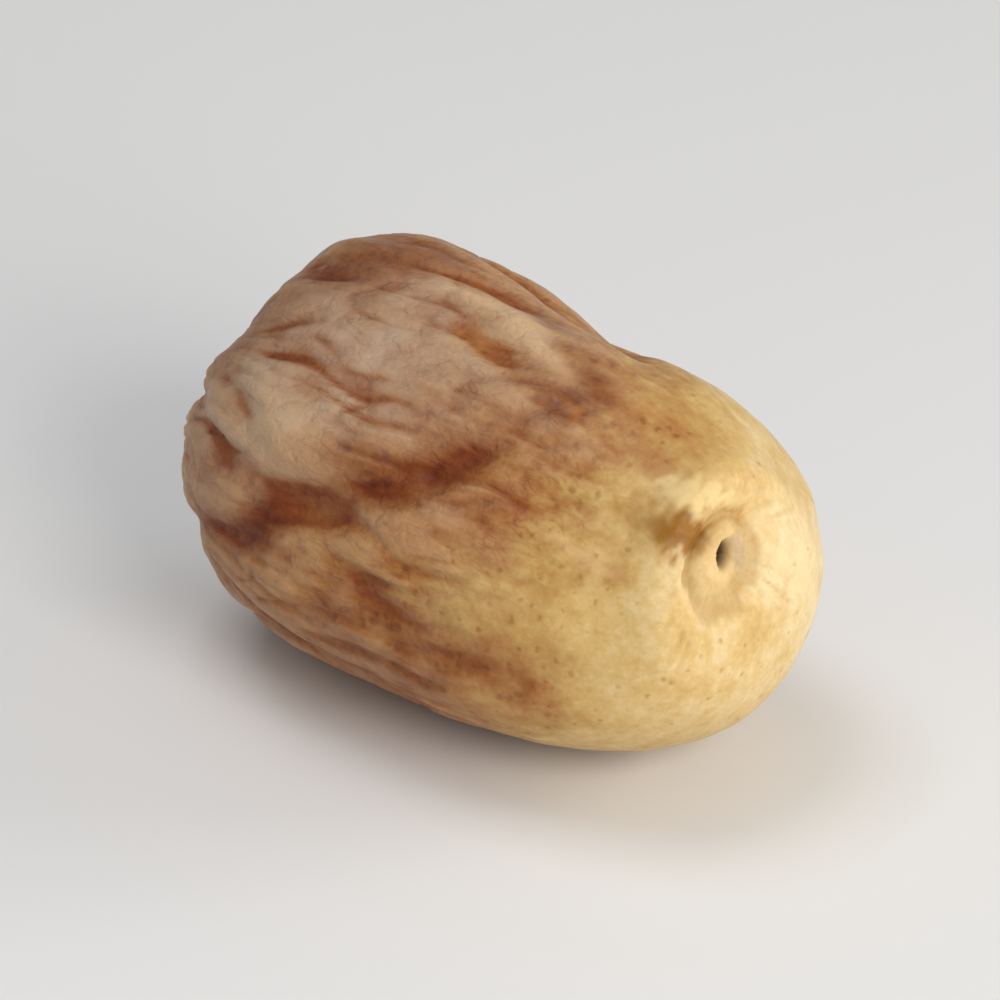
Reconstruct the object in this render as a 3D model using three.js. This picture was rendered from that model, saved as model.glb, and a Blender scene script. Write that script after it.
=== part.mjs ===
// A semi-dry golden-brown date, whole, lying on its side on a small flat spot.
// The fruit is one solid. Its long axis runs along X, with the stem scar at +X and the apex at -X.
// The near side is -Y. Z is up, and the middle of the underside is the origin.
import * as THREE from 'three';

// Driving dimensions, in millimetres
const LENGTH = 39;
const WIDTH = 23.6;
const HEIGHT = 22.6;
const REST_FLAT_DEPTH = 0.4; // how far the underside is pressed in where it rests

// Body form
const STEM_BLUNTNESS = 2.9; // exponent of the lengthwise profile, 2 being an ellipse
const APEX_BLUNTNESS = 3.1;
const STEM_TAPER = 0.085; // the stem half is narrower than the apex half by this share
const STEM_LEAN = 0.24; // the face of the stem end leans back by this slope, so the scar looks up
const END_RISE = { stem: 0.7, apex: -0.3 }; // the ends bend up by this
const SIDE_BOW = 0.3; // both ends bend sideways by this
const SCAR_SHIFT = { y: -2.7, z: 4 }; // the scar sits off the long axis

// Mesh resolution
const SECTORS = 96;
const RINGS = 58;
const STEM_RING_CROWDING = 1.32; // above 1, rings lie closer together at the scar

// Main folds. An angle is in degrees round the fruit, from the top towards the near side (-Y),
// and a station is 0 at the stem scar and 1 at the apex. A fold swings from its first angle to
// its last between its two stations, evenly where its curl is 1 and early where it is less.
// Depth and width are in millimetres, and a fold of negative depth is a raised pleat.
const MAIN_FOLDS = [
  { from: 0.36, to: 0.73, firstAngle: -6, lastAngle: 102, curl: 0.5, depth: 0.8, width: 1.25 },
  { from: 0.5, to: 0.9, firstAngle: 124, lastAngle: 106, curl: 1, depth: 0.5, width: 1.1 },
  { from: 0.56, to: 0.88, firstAngle: 68, lastAngle: 42, curl: 1, depth: 0.5, width: 1.0 },
  { from: 0.4, to: 0.62, firstAngle: 96, lastAngle: 82, curl: 1, depth: 0.4, width: 1.0 },
  { from: 0.17, to: 0.36, firstAngle: 61, lastAngle: 56, curl: 1, depth: -0.3, width: 0.8 },
  { from: 0.36, to: 0.64, firstAngle: -12, lastAngle: 8, curl: 1, depth: -0.5, width: 1.0 },
  { from: 0.34, to: 0.7, firstAngle: -16, lastAngle: -40, curl: 1, depth: 0.65, width: 1.35 },
  { from: 0.58, to: 0.86, firstAngle: 14, lastAngle: -10, curl: 1, depth: 0.5, width: 1.1 },
  { from: 0.38, to: 0.76, firstAngle: -54, lastAngle: -100, curl: 1, depth: 0.65, width: 1.3 },
  { from: 0.57, to: 0.89, firstAngle: -84, lastAngle: -60, curl: 1, depth: 0.5, width: 1.1 },
  { from: 0.33, to: 0.64, firstAngle: -122, lastAngle: -104, curl: 1, depth: 0.5, width: 1.2 },
  { from: 0.55, to: 0.9, firstAngle: -120, lastAngle: -146, curl: 1, depth: 0.55, width: 1.2 },
];
const FOLD_FADE = 0.15; // share of the fruit's length over which a fold starts and ends
const FOLD_SWAY = { degrees: 4, rate: 17 }; // how far and how often a fold wanders to each side
const FOLD_UNEVENNESS = { share: 0.22, rate: 23 }; // how much and how often its depth changes
const LIP = { share: 0.28, place: 1.9, width: 1.05 }; // its raised lips, in its own depth and width

// Small folds between the main ones, spread evenly round by the golden angle
const SMALL_FOLD = {
  count: 13,
  nearest: 0.34,
  spread: 0.3,
  length: 0.27,
  swing: 26,
  depth: 0.32,
  width: 0.85,
};
const FIRST_SMALL_FOLD = 14; // degrees
const GOLDEN_ANGLE = Math.PI * (3 - Math.sqrt(5));
const GOLDEN_RATIO = 0.618;

// Crinkles of the dried skin: waves round and along the fruit, each bent by a slower one
const CRINKLE = { waves: 6, height: 0.13, leastAround: 5, leastAlong: 5, fading: 0.3 };
const CRINKLE_BEND = { size: 1.1, along: 7 };

// Hollows where the flesh has shrunk most. Reach is along the fruit, in stations. The one of
// negative depth is a full shoulder near the apex, where it has shrunk least.
const HOLLOWS = [
  { station: 0.47, angle: -48, reach: 0.1, degrees: 27, depth: 1.5 },
  { station: 0.6, angle: 150, reach: 0.09, degrees: 18, depth: 0.5 },
  { station: 0.45, angle: -78, reach: 0.08, degrees: 20, depth: 0.6 },
  { station: 0.74, angle: -24, reach: 0.12, degrees: 42, depth: -0.9 },
];

// Slow swells, so that no side is a true circle. Along is in radians from the stem to the apex.
const SWELLS = [
  { around: 3, along: 4.2, phase: 0.6, height: 0.21 },
  { around: 4, along: -6.3, phase: 2.1, height: 0.13 },
  { around: 2, along: 11, phase: 0, height: 0.1 },
];

// Stem scar, in the face of the stem end. Angles round it are in degrees, from +Y towards +Z.
const SCAR_OFFSET = { y: -0.7, z: 0.5 }; // the ring's centre from the hole
const DISH = { depth: 1.2, radius: 4.2 };
const RIM = { height: 0.5, radius: 5.7, width: 1.3, highest: 115, tilt: 0.45 };
const RING_GROOVE = { depth: 0.34, radius: 2.8, width: 0.62 };
const PLUG = { height: 0.3, radius: 1.9 };
const HOLE = { depth: 1.2, halfLength: 0.85, halfWidth: 0.42, turn: 65 }; // a short slit
const RING_OVAL = { share: 0.09, phase: 0.7 }; // the ring isn't quite round
const NOTCH = { angle: 40, depth: 0.4, from: 2.2, deepFrom: 3.2, deepTo: 4.6, to: 6.2, width: 0.75 };

// Apex
const TIP_NIB = { height: 0.55, radius: 1.0 };
const TIP_DISH = { depth: 0.35, radius: 3.2 };
const PUCKERS = { count: 7, phase: 0.4, height: 0.16, radius: 3.2, width: 1.8 };

// Body relief dies away towards both ends, from the outer to the inner distance from the axis.
const END_CALM = { inner: 2, outer: 8, left: 0.1 };

// Relief dies away on the underside, so that the flat spot stays whole.
const REST_CALM = { share: 0.85, degrees: 38, station: 0.52, reach: 0.26 };

// The ripe, shrivelled skin reaches towards the stem in two tongues.
const BORDER = { station: 0.42, blur: 0.13, waves: 5, waveReach: 0.015 };
const FIRM_SHARE = 0.16; // how shrivelled the firm stem end is
const TONGUES = [
  { angle: 38, reach: 0.16, width: 44 },
  { angle: -104, reach: 0.1, width: 36 },
];

const SKIN_LENGTH = 1.35 * LENGTH; // along the skin from pole to pole

const degrees = (angle) => (angle * Math.PI) / 180;
const bell = (distance, width) => Math.exp(-((distance / width) ** 2));
const mix = (low, high, share) => low + (high - low) * share;

function smoothStep(edgeLow, edgeHigh, value) {
  const share = Math.min(1, Math.max(0, (value - edgeLow) / (edgeHigh - edgeLow)));
  return share * share * (3 - 2 * share);
}

// The angle brought into the range from minus half a turn to half a turn.
function wrapAngle(angle) {
  return angle - 2 * Math.PI * Math.round(angle / (2 * Math.PI));
}

// Half-width of the profile as a share of the widest, for an axial place from 1 (stem) to -1 (apex).
function profile(axial) {
  const bluntness = axial > 0 ? STEM_BLUNTNESS : APEX_BLUNTNESS;
  const round = Math.sqrt(Math.max(0, 1 - Math.abs(axial) ** bluntness));
  return round * (1 - STEM_TAPER * axial);
}

// How shrivelled the skin is: low on the firm stem end, 1 on the riper apex half.
function shrivel(station, angle) {
  let border = BORDER.station + BORDER.waveReach * Math.sin(BORDER.waves * angle);
  for (const tongue of TONGUES) {
    border -= tongue.reach * bell(wrapAngle(angle - degrees(tongue.angle)), degrees(tongue.width));
  }
  return mix(FIRM_SHARE, 1, smoothStep(border - BORDER.blur, border + BORDER.blur, station));
}

// A furrow with two raised lips. Distance is in millimetres across it.
function furrow(distance, width) {
  const lip = bell(Math.abs(distance) - LIP.place * width, LIP.width * width);
  return LIP.share * lip - bell(distance, width);
}

function foldRelief(fold, station, angle, girthRadius) {
  const progress = (station - fold.from) / (fold.to - fold.from);
  if (progress <= 0 || progress >= 1) {
    return 0;
  }
  const centre = degrees(mix(fold.firstAngle, fold.lastAngle, progress ** fold.curl));
  const sway = degrees(FOLD_SWAY.degrees) * Math.sin(FOLD_SWAY.rate * station + fold.firstAngle);
  const sideways = degrees(fold.lastAngle - fold.firstAngle) * girthRadius;
  const lengthwise = (fold.to - fold.from) * SKIN_LENGTH;
  const slant = lengthwise / Math.hypot(lengthwise, sideways);
  const distance = wrapAngle(angle - centre - sway) * girthRadius * slant;
  const opens = smoothStep(fold.from, fold.from + FOLD_FADE, station);
  const closes = 1 - smoothStep(fold.to - FOLD_FADE, fold.to, station);
  const wobble = Math.sin(FOLD_UNEVENNESS.rate * station + 2 * fold.firstAngle);
  const depth = fold.depth * (1 + FOLD_UNEVENNESS.share * wobble);
  return depth * furrow(distance, fold.width) * opens * closes;
}

function smallFold(index) {
  const firstAngle = THREE.MathUtils.radToDeg(wrapAngle(index * GOLDEN_ANGLE)) + FIRST_SMALL_FOLD;
  const from = SMALL_FOLD.nearest + SMALL_FOLD.spread * ((index * GOLDEN_RATIO) % 1);
  return {
    from,
    to: from + SMALL_FOLD.length,
    firstAngle,
    lastAngle: firstAngle + SMALL_FOLD.swing * Math.sin(index * GOLDEN_ANGLE),
    curl: 1,
    depth: SMALL_FOLD.depth,
    width: SMALL_FOLD.width,
  };
}

const smallFolds = Array.from({ length: SMALL_FOLD.count }, (_, index) => smallFold(index));
const folds = [...MAIN_FOLDS, ...smallFolds];

// Waves whose crests run mostly lengthwise. Each is bent by a slower wave, so that crests fork.
function crinkles(station, angle) {
  let height = 0;
  for (let wave = 0; wave < CRINKLE.waves; wave += 1) {
    const around = CRINKLE.leastAround + 2 * wave;
    const along = CRINKLE.leastAlong + 3 * (wave % 3);
    const phase = wave * GOLDEN_ANGLE;
    const slowTurn = (wave + 2) * angle + CRINKLE_BEND.along * station + 2 * phase;
    const turn = around * angle + along * station + phase + CRINKLE_BEND.size * Math.sin(slowTurn);
    height += Math.sin(turn) / (1 + CRINKLE.fading * wave);
  }
  return CRINKLE.height * height;
}

// Slow waves, so that no side is a true circle, less the bell-shaped hollows.
function swellsAndHollows(station, angle) {
  let height = 0;
  for (const hollow of HOLLOWS) {
    const sideways = bell(wrapAngle(angle - degrees(hollow.angle)), degrees(hollow.degrees));
    height -= hollow.depth * bell(station - hollow.station, hollow.reach) * sideways;
  }
  for (const swell of SWELLS) {
    height += swell.height * Math.sin(swell.around * angle + swell.along * station + swell.phase);
  }
  return height;
}

// The scar left by the stalk: a shallow dish with a raised rim, a ring groove round a raised plug,
// a small slit-like hole and a notch.
function scarRelief(y, z) {
  const across = y - SCAR_OFFSET.y;
  const up = z - SCAR_OFFSET.z;
  const fromCentre = Math.hypot(across, up);
  const turn = Math.atan2(up, across);
  const ringRadius = RING_GROOVE.radius * (1 + RING_OVAL.share * Math.sin(2 * turn + RING_OVAL.phase));
  const notchAway = wrapAngle(turn - degrees(NOTCH.angle)) * fromCentre;
  const notchSpan = smoothStep(NOTCH.from, NOTCH.deepFrom, fromCentre)
    * (1 - smoothStep(NOTCH.deepTo, NOTCH.to, fromCentre));
  const rimSide = mix(1, Math.cos(turn - degrees(RIM.highest)), RIM.tilt);
  const rim = RIM.height * rimSide * bell(fromCentre - RIM.radius, RIM.width);
  const dish = DISH.depth * bell(fromCentre, DISH.radius);
  const ring = RING_GROOVE.depth * bell(fromCentre - ringRadius, RING_GROOVE.width);
  const plug = PLUG.height * Math.exp(-((fromCentre / PLUG.radius) ** 4));
  const slitTurn = degrees(HOLE.turn);
  const alongSlit = y * Math.cos(slitTurn) + z * Math.sin(slitTurn);
  const acrossSlit = z * Math.cos(slitTurn) - y * Math.sin(slitTurn);
  const hole = HOLE.depth * bell(alongSlit, HOLE.halfLength) * bell(acrossSlit, HOLE.halfWidth);
  const notch = NOTCH.depth * bell(notchAway, NOTCH.width) * notchSpan;
  return rim + plug - dish - ring - hole - notch;
}

// A dimple with the dried nib of the flower in it, and skin puckered round it.
function tipRelief(fromAxis, angle) {
  const pucker = PUCKERS.height * Math.sin(PUCKERS.count * angle + PUCKERS.phase)
    * bell(fromAxis - PUCKERS.radius, PUCKERS.width);
  const nib = TIP_NIB.height * bell(fromAxis, TIP_NIB.radius);
  return nib - TIP_DISH.depth * bell(fromAxis, TIP_DISH.radius) + pucker;
}

// How much of the body relief is left: little on the flat spot that the fruit rests on.
function restCalm(station, angle) {
  const fromUnderside = wrapAngle(angle - Math.PI);
  const nearness = bell(fromUnderside, degrees(REST_CALM.degrees))
    * bell(station - REST_CALM.station, REST_CALM.reach);
  return 1 - REST_CALM.share * nearness;
}

function bodyRelief(station, angle, fromAxis) {
  let height = swellsAndHollows(station, angle) + shrivel(station, angle) * crinkles(station, angle);
  for (const fold of folds) {
    height += foldRelief(fold, station, angle, fromAxis);
  }
  return height * restCalm(station, angle);
}

// Height of the skin above the plain body, along its normal, in millimetres.
function relief(station, angle, y, z) {
  const fromAxis = Math.hypot(y, z);
  const endRelief = station < 0.5 ? scarRelief(y, z) : tipRelief(fromAxis, angle);
  const calm = mix(END_CALM.left, 1, smoothStep(END_CALM.inner, END_CALM.outer, fromAxis));
  return endRelief + calm * bodyRelief(station, angle, fromAxis);
}

// Point of the skin for a station angle from 0 (stem) to half a turn (apex) and an angle round.
function skinPoint(stationAngle, angle) {
  const axial = Math.cos(stationAngle);
  const girth = profile(axial);
  const halfLength = LENGTH / 2;
  const x = halfLength * axial;
  const y = -(WIDTH / 2) * girth * Math.sin(angle);
  const z = (HEIGHT / 2) * girth * Math.cos(angle);

  const bluntness = axial > 0 ? STEM_BLUNTNESS : APEX_BLUNTNESS;
  const slope = (Math.sign(axial) * bluntness * Math.abs(axial) ** (bluntness - 1)) / halfLength;
  const normal = new THREE.Vector3(slope, (8 * y) / WIDTH ** 2, (8 * z) / HEIGHT ** 2).normalize();

  const height = relief(stationAngle / Math.PI, angle, y, z);
  const point = new THREE.Vector3(x, y, z).addScaledVector(normal, height);
  point.y += SIDE_BOW * axial ** 2;
  if (axial > 0) {
    const nearScar = axial ** 8;
    point.y += SCAR_SHIFT.y * nearScar;
    point.z += END_RISE.stem * axial ** 2 + SCAR_SHIFT.z * nearScar;
    point.x -= STEM_LEAN * point.z * axial ** 2;
  } else {
    point.z += END_RISE.apex * axial ** 2;
  }
  const floor = REST_FLAT_DEPTH - HEIGHT / 2;
  point.z = Math.max(0, point.z - floor);
  return point;
}

// Two triangles for four corners, along the shorter diagonal, so that edges follow the folds.
function splitQuad(points, [first, second, third, fourth]) {
  const straight = points[first].distanceTo(points[third]);
  const other = points[second].distanceTo(points[fourth]);
  return straight < other
    ? [first, second, third, first, third, fourth]
    : [second, third, fourth, second, fourth, first];
}

// One closed skin: a pole at each end, and rings of points between them.
function makeDateGeometry() {
  const points = [skinPoint(0, 0)];
  for (let ring = 1; ring < RINGS; ring += 1) {
    const stationAngle = Math.PI * (ring / RINGS) ** STEM_RING_CROWDING;
    for (let sector = 0; sector < SECTORS; sector += 1) {
      points.push(skinPoint(stationAngle, (2 * Math.PI * sector) / SECTORS));
    }
  }
  points.push(skinPoint(Math.PI, 0));

  const at = (ring, sector) => 1 + (ring - 1) * SECTORS + (sector % SECTORS);
  const apex = points.length - 1;
  const triangles = [];
  for (let sector = 0; sector < SECTORS; sector += 1) {
    triangles.push(0, at(1, sector), at(1, sector + 1));
    triangles.push(apex, at(RINGS - 1, sector + 1), at(RINGS - 1, sector));
    for (let ring = 1; ring < RINGS - 1; ring += 1) {
      triangles.push(...splitQuad(points, [
        at(ring, sector), at(ring + 1, sector), at(ring + 1, sector + 1), at(ring, sector + 1),
      ]));
    }
  }

  const geometry = new THREE.BufferGeometry().setFromPoints(points);
  geometry.setIndex(triangles);
  geometry.computeBoundingBox();
  const middle = geometry.boundingBox.getCenter(new THREE.Vector3());
  geometry.translate(-middle.x, -middle.y, 0);
  geometry.computeVertexNormals();
  return geometry;
}

const skin = new THREE.MeshStandardMaterial({ color: 0xb8843f, roughness: 0.48, metalness: 0 });
const date = new THREE.Mesh(makeDateGeometry(), skin);
date.name = 'date_fruit';

const part = new THREE.Group();
part.add(date);

export default part;
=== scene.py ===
"""A semi-dry golden-brown date, lying on its side: its wrinkled skin, its stem scar and its light.

The skin is one closed surface with two parameters. The station is 0 at the stem scar and 1 at
the apex. The angle goes round the fruit, from the top towards the near side (-Y).
Sizes are in millimetres up to the mesh, which is in metres. Depths, heights, widths and reaches
are in millimetres where no other unit is given; a reach along the fruit may be in stations.
"""

import math
from types import SimpleNamespace as Sizes

import bpy
import numpy as np
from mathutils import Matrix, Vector


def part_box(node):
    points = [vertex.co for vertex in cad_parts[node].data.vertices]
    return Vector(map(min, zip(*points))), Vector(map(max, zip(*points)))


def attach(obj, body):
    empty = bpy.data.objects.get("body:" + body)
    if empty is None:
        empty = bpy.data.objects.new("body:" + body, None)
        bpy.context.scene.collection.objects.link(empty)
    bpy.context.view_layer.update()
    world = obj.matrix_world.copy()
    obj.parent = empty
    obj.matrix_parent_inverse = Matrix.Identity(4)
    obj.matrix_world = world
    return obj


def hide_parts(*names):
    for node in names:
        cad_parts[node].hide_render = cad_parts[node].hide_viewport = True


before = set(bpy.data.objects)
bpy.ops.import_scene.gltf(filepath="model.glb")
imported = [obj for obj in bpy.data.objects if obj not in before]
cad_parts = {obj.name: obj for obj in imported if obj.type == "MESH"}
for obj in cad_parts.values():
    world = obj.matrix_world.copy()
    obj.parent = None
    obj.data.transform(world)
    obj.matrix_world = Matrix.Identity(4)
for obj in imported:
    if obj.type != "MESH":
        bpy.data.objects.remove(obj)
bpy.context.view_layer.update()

MM = 0.001

# Body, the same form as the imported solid
LENGTH = 39.0
WIDTH = 23.6
HEIGHT = 22.6
REST_FLAT_DEPTH = 0.4
STEM_BLUNTNESS = 2.9
APEX_BLUNTNESS = 3.1
STEM_TAPER = 0.085
STEM_LEAN = 0.24
END_RISE = Sizes(stem=0.7, apex=-0.3)
SIDE_BOW = 0.3
SCAR_SHIFT = Sizes(y=-2.7, z=4.0)
SKIN_LENGTH = 1.35 * LENGTH
MEAN_RADIUS = (WIDTH + HEIGHT) / 4

# Mesh: more sectors than rings, because the wrinkles run lengthwise. It has 197,600 triangles.
SECTORS = 400
RINGS = 248
STEM_RING_CROWDING = 1.12

# Main folds: from station, to station, first and last angle in degrees, curl, depth, width.
# A fold of negative depth is a raised pleat.
MAIN_FOLDS = (
    (0.36, 0.73, -6, 102, 0.5, 0.8, 1.25),
    (0.5, 0.9, 124, 106, 1, 0.5, 1.1),
    (0.56, 0.88, 68, 42, 1, 0.5, 1.0),
    (0.4, 0.62, 96, 82, 1, 0.4, 1.0),
    (0.17, 0.36, 61, 56, 1, -0.3, 0.8),
    (0.36, 0.64, -12, 8, 1, -0.5, 1.0),
    (0.34, 0.7, -16, -40, 1, 0.65, 1.35),
    (0.58, 0.86, 14, -10, 1, 0.5, 1.1),
    (0.38, 0.76, -54, -100, 1, 0.65, 1.3),
    (0.57, 0.89, -84, -60, 1, 0.5, 1.1),
    (0.33, 0.64, -122, -104, 1, 0.5, 1.2),
    (0.55, 0.9, -120, -146, 1, 0.55, 1.2),
)
FOLD = Sizes(fade=0.15, sway_degrees=4, sway_rate=17, uneven_share=0.22, uneven_rate=23)
LIP = Sizes(share=0.28, place=1.9, width=1.05)  # shares of the fold's own depth and width
# Small folds are spread evenly: stations, and angles in degrees
SMALL_FOLD = Sizes(
    count=13, nearest=0.34, spread=0.3, length=0.27, first_angle=14, swing=26,
    depth=0.32, width=0.85,
)
GOLDEN_ANGLE = math.pi * (3 - math.sqrt(5))
GOLDEN_RATIO = 0.618

CRINKLE = Sizes(waves=6, height=0.13, least=5, fading=0.3, bend=1.1, bend_along=7)

# Hollows where the flesh has shrunk most: station, angle, reach in stations, degrees, depth.
# The one of negative depth is a full shoulder near the apex, where it has shrunk least.
HOLLOWS = (
    (0.47, -48, 0.1, 27, 1.5),
    (0.6, 150, 0.09, 18, 0.5),
    (0.45, -78, 0.08, 20, 0.6),
    (0.74, -24, 0.12, 42, -0.9),
)

# Slow swells: waves round, radians along, phase, height
SWELLS = (
    (3, 4.2, 0.6, 0.21),
    (4, -6.3, 2.1, 0.13),
    (2, 11, 0, 0.1),
)

# Stem scar. Its centre is given from the hole. Angles round it are in degrees, from +Y towards +Z.
SCAR_CENTRE = Sizes(y=-0.7, z=0.5)
DISH = Sizes(depth=1.2, radius=4.2)
RIM = Sizes(height=0.5, radius=5.7, width=1.3, highest=115, tilt=0.45)
RING = Sizes(depth=0.34, radius=2.8, width=0.62, oval=0.09, oval_phase=0.7)
PLUG = Sizes(height=0.3, radius=1.9)
HOLE = Sizes(depth=1.2, half_length=0.85, half_width=0.42, turn=65)
NOTCH = Sizes(angle=40, depth=0.4, start=2.2, deep_from=3.2, deep_to=4.6, end=6.2, width=0.75)

# Apex
NIB = Sizes(height=0.55, radius=1.0)
TIP_DISH = Sizes(depth=0.35, radius=3.2)
PUCKER = Sizes(count=7, phase=0.4, height=0.16, radius=3.2, width=1.8)

# Where the relief dies away: at the ends, and on the flat spot that the fruit rests on
END_CALM = Sizes(inner=2, outer=8, left=0.1)
REST_CALM = Sizes(share=0.85, degrees=38, station=0.52, reach=0.26)

# Border between the firm golden stem end and the ripe shrivelled skin
BORDER = Sizes(station=0.42, blur=0.13, waves=5, wave_reach=0.015)
FIRM_SHARE = 0.16
TONGUES = ((38, 0.16, 44), (-104, 0.1, 36))  # angle, reach, width in degrees


def bell(distance, width):
    """1 in the middle, falling off evenly to both sides."""
    return np.exp(-((distance / width) ** 2))


def plateau(distance, width):
    """1 over the middle, with a flat top and steep sides."""
    return np.exp(-((distance / width) ** 4))


def mix(low, high, share):
    """The value that lies share of the way from low to high."""
    return low + (high - low) * share


def smooth_step(low, high, value):
    """0 below low, 1 above high, and a smooth rise between them."""
    share = np.clip((value - low) / (high - low), 0, 1)
    return share * share * (3 - 2 * share)


def wrap_angle(angle):
    """The angle brought into the range from minus half a turn to half a turn."""
    return angle - 2 * math.pi * np.round(angle / (2 * math.pi))


def border_station(angle):
    """Station of the golden border: a mean, a slight wave round, and two tongues of ripe skin."""
    border = BORDER.station + BORDER.wave_reach * np.sin(BORDER.waves * angle)
    for tongue_angle, reach, width in TONGUES:
        away = wrap_angle(angle - math.radians(tongue_angle))
        border = border - reach * bell(away, math.radians(width))
    return border


def shrivel(station, angle):
    """How shrivelled the skin is: low on the stem side of the border, 1 on the apex side."""
    border = border_station(angle)
    return mix(FIRM_SHARE, 1, smooth_step(border - BORDER.blur, border + BORDER.blur, station))


def fold_track(fold, station, angle, girth_radius):
    """Distance in mm across a fold's swaying line, and the share to which it is open there."""
    start, end, first_angle, last_angle, curl, _, _ = fold
    progress = np.clip((station - start) / (end - start), 0, 1)
    centre = np.radians(mix(first_angle, last_angle, progress**curl))
    sway = math.radians(FOLD.sway_degrees) * np.sin(FOLD.sway_rate * station + first_angle)
    sideways = math.radians(last_angle - first_angle) * girth_radius
    lengthwise = (end - start) * SKIN_LENGTH
    slant = lengthwise / np.hypot(lengthwise, sideways)
    distance = wrap_angle(angle - centre - sway) * girth_radius * slant
    opens = smooth_step(start, start + FOLD.fade, station)
    closes = 1 - smooth_step(end - FOLD.fade, end, station)
    return distance, opens * closes


def fold_relief(fold, station, angle, girth_radius):
    """A furrow of bell section with two raised lips, deeper and shallower along its line."""
    _, _, first_angle, _, _, depth, width = fold
    distance, share = fold_track(fold, station, angle, girth_radius)
    wobble = np.sin(FOLD.uneven_rate * station + 2 * first_angle)
    lip = LIP.share * bell(np.abs(distance) - LIP.place * width, LIP.width * width)
    furrow = lip - bell(distance, width)
    return depth * (1 + FOLD.uneven_share * wobble) * furrow * share


def small_fold(index):
    """One of the small folds, which the golden angle spreads evenly round the fruit."""
    first_angle = math.degrees(wrap_angle(index * GOLDEN_ANGLE)) + SMALL_FOLD.first_angle
    start = SMALL_FOLD.nearest + SMALL_FOLD.spread * ((index * GOLDEN_RATIO) % 1)
    last_angle = first_angle + SMALL_FOLD.swing * math.sin(index * GOLDEN_ANGLE)
    end = start + SMALL_FOLD.length
    return start, end, first_angle, last_angle, 1, SMALL_FOLD.depth, SMALL_FOLD.width


FOLDS = MAIN_FOLDS + tuple(small_fold(index) for index in range(SMALL_FOLD.count))


def crinkles(station, angle):
    """Waves whose crests run mostly lengthwise, each bent by a slower wave so that crests fork."""
    height = 0
    for wave in range(CRINKLE.waves):
        around = CRINKLE.least + 2 * wave
        along = CRINKLE.least + 3 * (wave % 3)
        phase = wave * GOLDEN_ANGLE
        bend = np.sin((wave + 2) * angle + CRINKLE.bend_along * station + 2 * phase)
        turn = around * angle + along * station + phase + CRINKLE.bend * bend
        height = height + np.sin(turn) / (1 + CRINKLE.fading * wave)
    return CRINKLE.height * height


def swells_and_hollows(station, angle):
    """Slow waves, so that no side is a true circle, less a few bell-shaped hollows."""
    height = sum(
        height * np.sin(around * angle + along * station + phase)
        for around, along, phase, height in SWELLS
    )
    for hollow_station, hollow_angle, reach, width, depth in HOLLOWS:
        sideways = bell(wrap_angle(angle - math.radians(hollow_angle)), math.radians(width))
        height = height - depth * bell(station - hollow_station, reach) * sideways
    return height


def from_scar(y, z):
    """Distance from the scar's centre and the turn round it, for a place across the long axis."""
    across = y - SCAR_CENTRE.y
    up = z - SCAR_CENTRE.z
    return np.hypot(across, up), np.arctan2(up, across)


def slanting_oval(y, z, oval):
    """1 in the middle of an oval that is turned in its plane, falling off by a bell each way."""
    turn = math.radians(oval.turn)
    along = y * math.cos(turn) + z * math.sin(turn)
    across = z * math.cos(turn) - y * math.sin(turn)
    return bell(along, oval.half_length) * bell(across, oval.half_width)


def scar_relief(y, z):
    """A shallow dish with a raised rim, a ring groove round a raised plug, a hole and a notch."""
    from_centre, turn = from_scar(y, z)
    ring_radius = RING.radius * (1 + RING.oval * np.sin(2 * turn + RING.oval_phase))
    notch_away = wrap_angle(turn - math.radians(NOTCH.angle)) * from_centre
    notch_span = smooth_step(NOTCH.start, NOTCH.deep_from, from_centre) * (
        1 - smooth_step(NOTCH.deep_to, NOTCH.end, from_centre)
    )
    rim_side = mix(1, np.cos(turn - math.radians(RIM.highest)), RIM.tilt)
    rim = RIM.height * rim_side * bell(from_centre - RIM.radius, RIM.width)
    dish = DISH.depth * bell(from_centre, DISH.radius)
    ring = RING.depth * bell(from_centre - ring_radius, RING.width)
    plug = PLUG.height * plateau(from_centre, PLUG.radius)
    hole = HOLE.depth * slanting_oval(y, z, HOLE)
    notch = NOTCH.depth * bell(notch_away, NOTCH.width) * notch_span
    return rim + plug - dish - ring - hole - notch


def tip_relief(from_axis, angle):
    """A dimple with a small nib in it, and skin puckered round it."""
    pucker = np.sin(PUCKER.count * angle + PUCKER.phase)
    pucker = PUCKER.height * pucker * bell(from_axis - PUCKER.radius, PUCKER.width)
    nib = NIB.height * bell(from_axis, NIB.radius)
    return nib - TIP_DISH.depth * bell(from_axis, TIP_DISH.radius) + pucker


def rest_calm(station, angle):
    """How much relief is left: little on the flat spot that the fruit rests on."""
    from_underside = wrap_angle(angle - math.pi)
    nearness = bell(from_underside, math.radians(REST_CALM.degrees))
    nearness = nearness * bell(station - REST_CALM.station, REST_CALM.reach)
    return 1 - REST_CALM.share * nearness


def body_relief(station, angle, from_axis):
    """Swells, crinkles and folds, in mm."""
    height = swells_and_hollows(station, angle) + shrivel(station, angle) * crinkles(station, angle)
    for fold in FOLDS:
        height = height + fold_relief(fold, station, angle, from_axis)
    return height * rest_calm(station, angle)


def profile(axial):
    """Half-width as a share of the widest: a blunt superellipse, narrower towards the stem."""
    bluntness = np.where(axial > 0, STEM_BLUNTNESS, APEX_BLUNTNESS)
    blunt = np.sqrt(np.clip(1 - np.abs(axial) ** bluntness, 0, 1))
    return blunt * (1 - STEM_TAPER * axial)


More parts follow.
